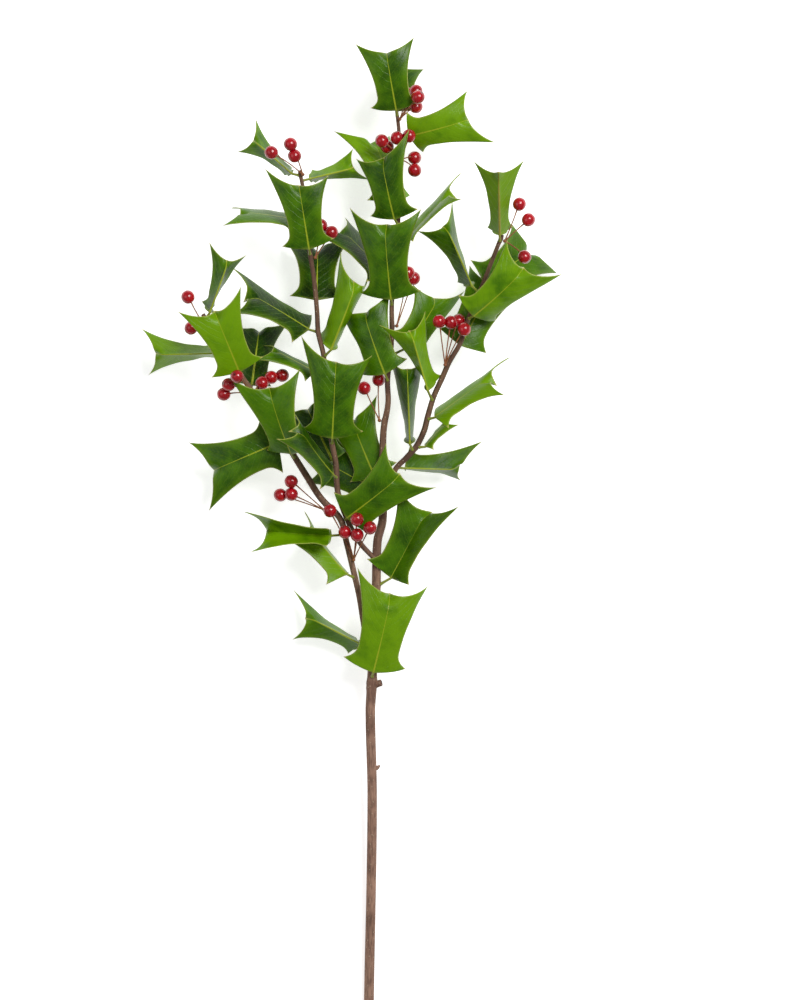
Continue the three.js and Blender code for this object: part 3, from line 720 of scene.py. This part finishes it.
def add_ball(made, centre, axis, radius, slot, rows, dimple):
    """A ball with a dimple at each pole of its axis; rows counts its rings."""
    side = unit(np.cross(axis, [0.3, 0.2, 0.9]))
    other = np.cross(axis, side)
    columns = rows * 4 // 3
    polar = np.linspace(0.001, math.pi - 0.001, rows)
    turn = np.arange(columns) * 2 * math.pi / columns
    flower_end = np.exp(-((polar / 0.2) ** 2))
    stalk_end = 0.7 * np.exp(-(((math.pi - polar) / 0.3) ** 2))
    hollow = dimple * (flower_end + stalk_end)
    rim = 0.15 * dimple * np.exp(-(((polar - 0.34) / 0.1) ** 2))
    r = radius * (1 + 0.02 * np.cos(2 * polar)) - hollow + rim
    around = np.cos(turn)[:, None] * side + np.sin(turn)[:, None] * other
    rings = centre + (r * np.cos(polar))[:, None, None] * axis
    rings = rings + (r * np.sin(polar))[:, None, None] * around[None]
    pole = np.repeat(np.degrees(polar), columns)
    tone = random.Random(round(float(centre[0]) * 7)).random()
    faces = grid_faces(rows, columns, wrap=True, flip=True)
    made.add(rings, faces, slot, pole=pole, tone=tone)


def colour(red, green, blue):
    """An sRGB colour, 0 to 255 each, as the linear value that a shader takes."""
    def linear(c):
        c /= 255
        return c / 12.92 if c <= 0.04045 else ((c + 0.055) / 1.055) ** 2.4
    return (linear(red), linear(green), linear(blue), 1.0)


class Nodes:
    """A short way to write a material's shader nodes.

    The methods that make a value return its output socket, and take sockets or plain values.
    """

    def __init__(self, name):
        self.material = bpy.data.materials.new(name)
        self.material.use_nodes = True
        self.tree = self.material.node_tree
        self.surface = self.tree.nodes["Principled BSDF"]

    def node(self, kind, **settings):
        made = self.tree.nodes.new(kind)
        for key, value in settings.items():
            setattr(made, key, value)
        return made

    def plug(self, value, socket):
        """Links a socket, or sets a plain value."""
        if isinstance(value, bpy.types.NodeSocket):
            self.tree.links.new(value, socket)
        else:
            socket.default_value = value

    def attribute(self, name):
        return self.node("ShaderNodeAttribute", attribute_name=name).outputs["Fac"]

    def math(self, operation, a, b=0.0, c=0.0):
        made = self.node("ShaderNodeMath", operation=operation)
        for value, socket in zip((a, b, c), made.inputs):
            self.plug(value, socket)
        return made.outputs[0]

    def ramp(self, value, low, high, start=0.0, end=1.0):
        """Goes smoothly from start to end while value goes from low to high."""
        made = self.node("ShaderNodeMapRange", interpolation_type="SMOOTHSTEP")
        for item, socket in zip((value, low, high, start, end), made.inputs):
            self.plug(item, socket)
        return made.outputs[0]

    def mix(self, share, a, b):
        made = self.node("ShaderNodeMix", data_type="RGBA")
        self.plug(share, made.inputs[0])
        self.plug(a, made.inputs[6])
        self.plug(b, made.inputs[7])
        return made.outputs[2]

    def vector(self, x, y, z):
        made = self.node("ShaderNodeCombineXYZ")
        for value, socket in zip((x, y, z), made.inputs):
            self.plug(value, socket)
        return made.outputs[0]

    def noise(self, place, scale, detail=3.0):
        made = self.node("ShaderNodeTexNoise")
        self.plug(place, made.inputs["Vector"])
        made.inputs["Scale"].default_value = scale
        made.inputs["Detail"].default_value = detail
        return made.outputs["Fac"]

    def cells(self, place, scale, feature="F1"):
        made = self.node("ShaderNodeTexVoronoi", feature=feature)
        self.plug(place, made.inputs["Vector"])
        made.inputs["Scale"].default_value = scale
        return made.outputs["Distance"]

    def place(self):
        return self.node("ShaderNodeTexCoord").outputs["Object"]

    def bump(self, height, strength, distance):
        made = self.node("ShaderNodeBump")
        made.inputs["Strength"].default_value = strength
        made.inputs["Distance"].default_value = distance
        self.plug(height, made.inputs["Height"])
        self.plug(made.outputs[0], self.surface.inputs["Normal"])

    def set(self, **values):
        """Sets or links inputs of the shader, with _ for the spaces in their names."""
        for key, value in values.items():
            self.plug(value, self.surface.inputs[key.replace("_", " ")])


# Colours of the leaves' greens, as sRGB values of 0 to 255. "fresh" and "deep" are their own
# greens; "shaded" is painted shade, a darker copy for leaves that lie in shadow behind others.
LEAF_LOOKS = {
    "fresh": {"dark": (48, 96, 0), "light": (104, 148, 4), "under": (86, 124, 10)},
    "deep": {"dark": (24, 64, 0), "light": (66, 110, 0), "under": (64, 104, 10)},
    # Painted shade: darker greens on both faces of leaves that lie in shadow.
    "shaded": {"dark": (8, 38, 0), "light": (28, 68, 4), "under": (40, 78, 12)},
}

# How strongly each feature of a face tints it, and with which colour, in painting order.
TINTS = {
    "upper": {
        "border": (0.34, (108, 146, 8)),
        "vein": (0.16, (104, 148, 10)),
        "net": (0.05, (120, 150, 20)),
        "midrib": (0.85, (156, 168, 40)),
        "margin": (0.7, (166, 172, 84)),
    },
    "lower": {
        "vein": (0.3, (124, 154, 50)),
        "net": (0.22, (70, 104, 44)),
        "midrib": (0.9, (134, 122, 46)),
        "margin": (0.6, (156, 164, 84)),
    },
}


def side_veins(m, place, along, across, edge):
    """1 on the side veins, which leave the midrib at a slant and arch toward the leaf's end."""
    rise = m.math("SUBTRACT", along, m.math("MULTIPLY", m.math("POWER", across, 1.15), 0.62))
    wobble = m.math("MULTIPLY", m.noise(place, 0.25, 1.0), 2.5)
    wave = m.math("PINGPONG", m.math("ADD", rise, wobble), 2.9)
    vein = m.ramp(wave, 0.0, 0.5, 1.0, 0.0)
    return m.math("MULTIPLY", vein, m.ramp(edge, 0.5, 3.0))


def leaf_features(m, place, along, across, edge):
    """What can tint a face, each 1 where it is strongest; lengths are in millimetres."""
    rib_edge = m.ramp(along, 4.0, 40.0, 0.5, 0.05)
    return {
        "border": m.ramp(edge, 0.3, 5.0, 1.0, 0.0),
        "vein": side_veins(m, place, along, across, edge),
        "net": m.ramp(m.cells(place, 0.55, "DISTANCE_TO_EDGE"), 0.0, 0.12, 1.0, 0.0),
        "midrib": m.ramp(m.math("SUBTRACT", across, rib_edge), 0.0, 0.28, 1.0, 0.0),
        "margin": m.ramp(edge, 0.25, 0.75, 1.0, 0.0),
    }


def leaf_material(green, face):
    """A holly leaf's upper or lower face, with its ribs, veins, pale margin and spine tips."""
    look = LEAF_LOOKS[green]
    m = Nodes(f"leaf_{green}_{face}")
    rib, along = m.attribute("rib"), m.attribute("along")
    edge, tip, tone = m.attribute("edge"), m.attribute("tip"), m.attribute("tone")
    place = m.vector(rib, along, m.math("MULTIPLY", tone, 90.0))
    cloud = m.noise(place, 0.09, 2.0)
    fine = m.noise(place, 0.9, 4.0)
    features = leaf_features(m, place, along, m.math("ABSOLUTE", rib), edge)

    mixture = m.math("MULTIPLY_ADD", cloud, 0.9, m.math("MULTIPLY", tone, 0.35))
    mixture = m.ramp(mixture, 0.3, 0.85)
    if face == "upper":
        base = m.mix(mixture, colour(*look["dark"]), colour(*look["light"]))
        relief = m.math("MULTIPLY", features["vein"], -0.5)
        relief = m.math("ADD", relief, m.math("MULTIPLY", features["net"], -0.1))
        m.set(Roughness=0.3, Specular_IOR_Level=0.2)
    else:
        under = colour(*look["under"])
        base = m.mix(mixture, under, m.mix(0.4, under, colour(118, 156, 14)))
        relief = m.math("MULTIPLY", features["vein"], 0.9)
        m.set(Roughness=0.45, Specular_IOR_Level=0.16)
    for feature, (strength, tint) in TINTS[face].items():
        base = m.mix(m.math("MULTIPLY", features[feature], strength), base, colour(*tint))
    specks = m.ramp(fine, 0.35, 0.75)
    base = m.mix(m.math("MULTIPLY", specks, 0.1), base, colour(132, 152, 8))
    spines = m.ramp(tip, 0.35, 0.95)
    base = m.mix(m.math("MULTIPLY", spines, 0.75), base, colour(196, 184, 110))
    petiole = m.ramp(along, -1.5, 3.0, 1.0, 0.0)
    base = m.mix(m.math("MULTIPLY", petiole, 0.8), base, colour(132, 138, 62))
    m.set(Base_Color=base)
    m.bump(m.math("ADD", relief, m.math("MULTIPLY", fine, 0.5)), 0.45, 0.0004)
    return m.material


def berry_material():
    """Glossy crimson skin, lighter in soft patches, with a dark ring round the flower end."""
    m = Nodes("berry_skin")
    place = m.place()
    pole, tone = m.attribute("pole"), m.attribute("tone")
    cloud = m.noise(place, 160.0, 2.0)
    speck = m.cells(place, 1400.0)
    base = m.mix(m.ramp(cloud, 0.3, 0.7), colour(146, 0, 12), colour(184, 4, 24))
    base = m.mix(m.math("MULTIPLY", tone, 0.35), base, colour(120, 6, 24))
    base = m.mix(m.ramp(speck, 0.0, 0.16, 0.25, 0.0), base, colour(214, 90, 80))
    ring = m.ramp(pole, 14.0, 22.0, 1.0, 0.0)
    base = m.mix(m.math("MULTIPLY", ring, 0.6), base, colour(90, 22, 18))
    base = m.mix(m.ramp(pole, 4.0, 8.5, 1.0, 0.0), base, colour(34, 18, 12))
    base = m.mix(m.ramp(pole, 166.0, 174.0, 0.0, 0.8), base, colour(96, 60, 30))
    m.set(Base_Color=base, Roughness=0.24, Specular_IOR_Level=0.45)
    m.set(Coat_Weight=0.35, Coat_Roughness=0.08)
    m.set(Subsurface_Weight=0.12, Subsurface_Radius=(0.004, 0.001, 0.0006), Subsurface_Scale=0.5)
    m.bump(m.noise(place, 900.0, 3.0), 0.12, 0.0003)
    return m.material


def stalk_material():
    """The thin brown stalks and the knot of a bunch."""
    m = Nodes("berry_stalk")
    grain = m.noise(m.place(), 500.0, 3.0)
    m.set(Base_Color=m.mix(m.ramp(grain, 0.3, 0.7), colour(122, 66, 36), colour(150, 96, 54)))
    m.set(Roughness=0.6)
    m.bump(grain, 0.3, 0.0002)
    return m.material


def bark_material():
    """Grey-brown bark, darker toward the top, with fine lengthwise grain and pale specks."""
    m = Nodes("bark")
    place = m.place()
    stretched = m.node("ShaderNodeVectorMath", operation="MULTIPLY")
    m.plug(place, stretched.inputs[0])
    stretched.inputs[1].default_value = (1.0, 0.14, 1.0)
    grain = m.noise(stretched.outputs[0], 900.0, 5.0)
    patches = m.noise(place, 60.0, 3.0)
    young = m.ramp(m.attribute("height"), 0.25, 0.7)
    old = m.mix(m.ramp(patches, 0.3, 0.7), colour(130, 98, 82), colour(166, 130, 110))
    new = m.mix(m.ramp(patches, 0.3, 0.7), colour(88, 62, 48), colour(124, 94, 72))
    base = m.mix(young, old, new)
    base = m.mix(m.ramp(grain, 0.35, 0.75, 0.0, 0.6), base, colour(62, 46, 38))
    speck = m.ramp(m.cells(place, 330.0), 0.1, 0.2, 1.0, 0.0)
    base = m.mix(m.math("MULTIPLY", speck, 0.55), base, colour(188, 168, 144))
    m.set(Base_Color=base, Roughness=0.8, Specular_IOR_Level=0.3)
    relief = m.math("ADD", grain, m.math("MULTIPLY", speck, 0.6))
    m.bump(m.math("ADD", relief, patches), 0.6, 0.0005)
    return m.material


def cut_material():
    """Pale wood at the cut foot of the stem."""
    m = Nodes("cut_wood")
    grain = m.noise(m.place(), 700.0, 4.0)
    m.set(Base_Color=m.mix(m.ramp(grain, 0.3, 0.7), colour(176, 148, 106), colour(212, 190, 150)))
    m.set(Roughness=0.75)
    m.bump(grain, 0.4, 0.0003)
    return m.material


def hollow_material():
    """The dark hollow end of the cut twig."""
    m = Nodes("twig_hollow")
    grain = m.noise(m.place(), 800.0, 3.0)
    m.set(Base_Color=m.mix(grain, colour(40, 26, 20), colour(92, 66, 48)), Roughness=0.9)
    m.bump(grain, 0.5, 0.0004)
    return m.material


def settle(piece, node):
    """Joins a finished piece to the frame in place of the solid of that name."""
    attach(piece, "root")
    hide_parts(node)


def build_sprig():
    """Every piece of the sprig, each in place of the solid that it shows."""
    wood = [bark_material(), cut_material(), hollow_material()]
    for name, parts in WOOD.items():
        made = Builder()
        for part in parts:
            add_stem(made, part)
        if name == "main_stem":
            add_twig_stub(made)
            add_bud(made)
        settle(made.object(f"{name}_wood", wood), name)
    greens = {
        green: [leaf_material(green, face) for face in ("upper", "lower")]
        for green in LEAF_LOOKS
    }
    for row in LEAVES:
        name, green = row[0], row[-1]
        made, cap = make_leaf(row)
        settle(made.object(f"{name}_blade", greens[green], cap), name)
    fruit = [berry_material(), stalk_material()]
    for name in BERRIES:
        settle(make_bunch(name).object(f"{name}_fruit", fruit), name)


def add_floor():
    """A pale, even floor under the sprig, faintly lit from within so that it stays white."""
    bpy.ops.mesh.primitive_plane_add(size=12, location=(0, 0, 0))
    floor = bpy.context.object
    floor.name = "floor"
    m = Nodes("floor_paper")
    m.set(Base_Color=(0.93, 0.93, 0.93, 1.0), Roughness=0.9, Specular_IOR_Level=0.1)
    m.set(Emission_Color=(1.0, 1.0, 1.0, 1.0), Emission_Strength=FLOOR_GLOW)
    floor.data.materials.append(m.material)


def add_light(name, place, size, power):
    """A round soft lamp that points at the middle of the sprig."""
    data = bpy.data.lights.new(name, "AREA")
    data.shape = "DISK"
    data.size = size
    data.energy = power
    lamp = bpy.data.objects.new(name, data)
    lamp.location = place
    way = -Vector(place)
    lamp.rotation_euler = way.to_track_quat("-Z", "Y").to_euler()
    bpy.context.scene.collection.objects.link(lamp)


def add_lights():
    """A soft lamp above and to the upper right, a weaker one to the left and an even sky."""
    add_light("key", (0.9, 0.9, 1.9), 1.1, KEY_POWER)
    add_light("fill", (-1.3, 0.2, 1.6), 1.6, FILL_POWER)
    world = bpy.data.worlds.new("sky")
    world.use_nodes = True
    background = world.node_tree.nodes["Background"]
    background.inputs["Color"].default_value = (1, 1, 1, 1)
    background.inputs["Strength"].default_value = SKY
    bpy.context.scene.world = world


def add_camera():
    """Straight above the sprig, with the main stem up the frame."""
    data = bpy.data.cameras.new("camera")
    data.lens = LENS
    data.sensor_width = SENSOR
    away = VIEW_HEIGHT * LENS / SENSOR
    camera = bpy.data.objects.new("camera", data)
    spot = (np.array([*VIEW_MIDDLE, VIEW_LEVEL]) - np.array(ORIGIN)) * MM
    camera.location = (spot[0], spot[1], spot[2] + away * MM)
    data.clip_start, data.clip_end = 0.1, 100.0
    bpy.context.scene.collection.objects.link(camera)
    bpy.context.scene.camera = camera


build_sprig()
add_floor()
add_lights()
add_camera()
bpy.context.scene.view_settings.view_transform = "Standard"
bpy.context.view_layer.update()
